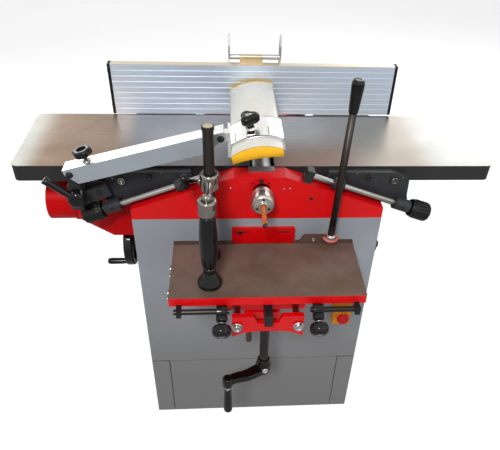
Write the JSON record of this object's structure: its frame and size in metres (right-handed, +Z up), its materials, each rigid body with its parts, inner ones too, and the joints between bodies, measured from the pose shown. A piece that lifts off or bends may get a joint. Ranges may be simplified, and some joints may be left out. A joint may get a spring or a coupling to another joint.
{
  "type": "combination planer thicknesser",
  "caption": "Combination surface planer and thicknesser on a sheet cabinet, with sliding tables, bridge guard, tilting fence, dust hood and a front slot mortiser.",
  "frame": {"origin": "on the floor under the middle of the planing tables", "axes": "+X right along the tables towards the infeed end, +Y from the mortiser towards the fence, +Z up"},
  "size_m": [1.085, 0.7478, 1.0761],
  "materials": {
    "grey_paint": "satin powder coat",
    "red_paint": "gloss paint on castings and sheet",
    "ground_iron": "ground cast iron",
    "dark_iron": "dark painted cast iron",
    "steel": "turned steel",
    "chrome": "bright plated",
    "aluminium": "brushed extrusion",
    "black_steel": "black oxide",
    "black_plastic": "moulded black plastic",
    "yellow_plastic": "moulded yellow plastic",
    "orange_plastic": "moulded orange plastic",
    "red_plastic": "moulded red plastic",
    "bronze": "turned bronze",
    "belt_rubber": "moulded rubber"
  },
  "bodies": {
    "base": {"cabinet": "grey_paint", "front_panel": "grey_paint", "access_panel": "grey_paint", "front_casting": "red_paint", "rear_casting": "red_paint", "spindle_bearings": "steel", "ledge_plate": "steel", "drive_cover": "red_paint", "motor": "dark_iron", "drive_belts": "belt_rubber", "dust_hood": "red_paint", "switch_box": "orange_plastic", "mortiser_mount": "red_paint", "fence_support": "dark_iron", "lift_bed": "dark_iron"},
    "cutter": {"cutterblock": "steel", "knives": "steel", "chuck": "chrome", "mortise_bit": "steel", "spindle_pulley": "steel"},
    "motor_rotor": {"motor_pulley": "steel"},
    "infeed_feed": {"infeed_roller": "steel"},
    "outfeed_feed": {"outfeed_roller": "steel"},
    "infeed": {"infeed_table": "ground_iron", "infeed_brackets": "dark_iron"},
    "infeed_adjuster": {"infeed_adjuster_rod": "steel", "infeed_adjuster_grip": "black_plastic"},
    "outfeed": {"outfeed_table": "ground_iron", "outfeed_brackets": "dark_iron", "guard_carrier": "dark_iron"},
    "outfeed_adjuster": {"outfeed_adjuster_rod": "steel", "outfeed_adjuster_grip": "black_plastic"},
    "arm_lock": {"guard_clamp_lever": "black_plastic"},
    "arm": {"guard_arm": "aluminium"},
    "arm_screw": {"arm_knob": "black_plastic"},
    "saddle": {"guard_saddle": "chrome"},
    "saddle_screw": {"guard_knob": "black_plastic"},
    "guard": {"bridge_guard": "aluminium", "guard_end_caps": "yellow_plastic"},
    "fence_slide": {"fence_carriage": "dark_iron"},
    "fence_tilt": {"fence": "aluminium", "fence_end_caps": "black_plastic", "fence_brackets": "steel"},
    "thickness_bed": {"thicknesser_table": "ground_iron"},
    "bed_nut": {"lift_nut": "bronze"},
    "bed_wheel": {"handwheel": "black_plastic"},
    "knee_body": {"knee": "red_paint", "knee_rods": "steel"},
    "knee_drive": {"knee_screw": "black_steel"},
    "knee_grip": {"crank_handle": "black_plastic"},
    "carriage": {"cross_carriage": "red_paint"},
    "mortise_bed": {"mortise_table": "ground_iron", "table_rods": "steel", "table_lever": "black_steel", "clamp_post": "black_steel"},
    "stop_a": {"left_stop": "black_plastic"},
    "stop_b": {"right_stop": "black_plastic"},
    "work_clamp": {"clamp_arm": "chrome"},
    "work_screw": {"clamp_foot": "black_steel"},
    "button": {"stop_button": "red_plastic"}
  },
  "joints": [
    {"name": "cutter_spin", "type": "hinge", "parent": "base", "child": "cutter", "pos_m": [0.005, 0, 0.8015], "axis": [0, 1, 0], "continuous": true},
    {"name": "motor_spin", "type": "hinge", "parent": "base", "child": "motor_rotor", "pos_m": [0.005, 0, 0.17], "axis": [0, 1, 0], "continuous": true},
    {"name": "infeed_roller_spin", "type": "hinge", "parent": "base", "child": "infeed_feed", "pos_m": [0.08, 0, 0.7825], "axis": [0, 1, 0], "continuous": true},
    {"name": "outfeed_roller_spin", "type": "hinge", "parent": "base", "child": "outfeed_feed", "pos_m": [-0.07, 0, 0.7825], "axis": [0, 1, 0], "continuous": true},
    {"name": "infeed_slide", "type": "slide", "parent": "base", "child": "infeed", "axis": [0.9397, 0, -0.342], "range_m": [-0.0058, 0.0058]},
    {"name": "infeed_screw_turn", "type": "hinge", "parent": "infeed", "child": "infeed_adjuster", "pos_m": [0.25625, -0.16, 0.78257], "axis": [0.9397, 0, -0.342], "range_deg": [-720, 720]},
    {"name": "outfeed_slide", "type": "slide", "parent": "base", "child": "outfeed", "axis": [-0.9397, 0, -0.342], "range_m": [-0.002, 0.005]},
    {"name": "outfeed_screw_turn", "type": "hinge", "parent": "outfeed", "child": "outfeed_adjuster", "pos_m": [-0.25075, -0.16, 0.78457], "axis": [-0.9397, 0, -0.342], "range_deg": [-360, 720]},
    {"name": "arm_lock_turn", "type": "hinge", "parent": "outfeed", "child": "arm_lock", "pos_m": [-0.39, -0.205, 0.806], "axis": [0, 1, 0], "range_deg": [-30, 60]},
    {"name": "arm_lift", "type": "hinge", "parent": "outfeed", "child": "arm", "pos_m": [-0.396, -0.182, 0.862], "axis": [0, -1, 0], "range_deg": [0, 35]},
    {"name": "arm_knob_turn", "type": "hinge", "parent": "arm", "child": "arm_screw", "pos_m": [-0.35735, -0.182, 0.87232], "axis": [-0.258, 0, 0.9662], "continuous": true},
    {"name": "saddle_level", "type": "hinge", "parent": "arm", "child": "saddle", "pos_m": [-0.08326, -0.182, 0.94551], "axis": [0, -1, 0], "range_deg": [-35, 0]},
    {"name": "guard_knob_turn", "type": "hinge", "parent": "saddle", "child": "saddle_screw", "pos_m": [-0.01464, -0.135, 0.90401], "axis": [-0.1736, 0, 0.9848], "continuous": true},
    {"name": "guard_slide", "type": "slide", "parent": "saddle", "child": "guard", "axis": [0, 1, 0], "range_m": [-0.09, 0.008]},
    {"name": "fence_cross", "type": "slide", "parent": "base", "child": "fence_slide", "axis": [0, 1, 0], "range_m": [-0.008, 0.03]},
    {"name": "fence_lean", "type": "hinge", "parent": "fence_slide", "child": "fence_tilt", "pos_m": [0, 0.158, 0.85], "axis": [-1, 0, 0], "range_deg": [0, 45]},
    {"name": "bed_lift", "type": "slide", "parent": "base", "child": "thickness_bed", "axis": [0, 0, 1], "range_m": [-0.075, 0.115]},
    {"name": "bed_nut_turn", "type": "hinge", "parent": "base", "child": "bed_nut", "pos_m": [0.005, 0, 0.5], "axis": [0, 0, 1], "continuous": true},
    {"name": "bed_wheel_turn", "type": "hinge", "parent": "base", "child": "bed_wheel", "pos_m": [-0.3, 0, 0.53], "axis": [1, 0, 0], "continuous": true},
    {"name": "knee_lift", "type": "slide", "parent": "base", "child": "knee_body", "axis": [0, 0, 1], "range_m": [-0.034, 0.02]},
    {"name": "knee_screw_turn", "type": "hinge", "parent": "knee_body", "child": "knee_drive", "pos_m": [0.014, -0.305, 0.4], "axis": [0, 0, 1], "continuous": true},
    {"name": "crank_grip_spin", "type": "hinge", "parent": "knee_drive", "child": "knee_grip", "pos_m": [-0.076, -0.345, 0.3], "axis": [0, 0, 1], "continuous": true},
    {"name": "cross_travel", "type": "slide", "parent": "knee_body", "child": "carriage", "axis": [0, 1, 0], "range_m": [-0.048, 0.007]},
    {"name": "table_travel", "type": "slide", "parent": "carriage", "child": "mortise_bed", "axis": [1, 0, 0], "range_m": [-0.078, 0.074]},
    {"name": "left_stop_slide", "type": "slide", "parent": "mortise_bed", "child": "stop_a", "axis": [1, 0, 0], "range_m": [-0.06, 0]},
    {"name": "right_stop_slide", "type": "slide", "parent": "mortise_bed", "child": "stop_b", "axis": [1, 0, 0], "range_m": [0, 0.055]},
    {"name": "clamp_height", "type": "slide", "parent": "mortise_bed", "child": "work_clamp", "axis": [0, 0, 1], "range_m": [0, 0.07]},
    {"name": "clamp_screw_turn", "type": "hinge", "parent": "work_clamp", "child": "work_screw", "pos_m": [-0.11, -0.34, 0.7], "axis": [0, 0, 1], "continuous": true},
    {"name": "stop_press", "type": "slide", "parent": "base", "child": "button", "axis": [0, 1, 0], "range_m": [0, 0.005], "stiffness_N_per_m": 800}
  ],
  "couplings": [
    {"joint": "motor_spin", "follows": "cutter_spin", "ratio": 0.47619},
    {"joint": "outfeed_roller_spin", "follows": "infeed_roller_spin", "ratio": 1},
    {"joint": "infeed_screw_turn", "follows": "infeed_slide", "rad_per_m": 2094.4},
    {"joint": "outfeed_screw_turn", "follows": "outfeed_slide", "rad_per_m": 2094.4},
    {"joint": "saddle_level", "follows": "arm_lift", "ratio": -1},
    {"joint": "bed_nut_turn", "follows": "bed_lift", "rad_per_m": 628.32},
    {"joint": "bed_wheel_turn", "follows": "bed_lift", "rad_per_m": 2126.6},
    {"joint": "knee_screw_turn", "follows": "knee_lift", "rad_per_m": 1570.8}
  ]
}
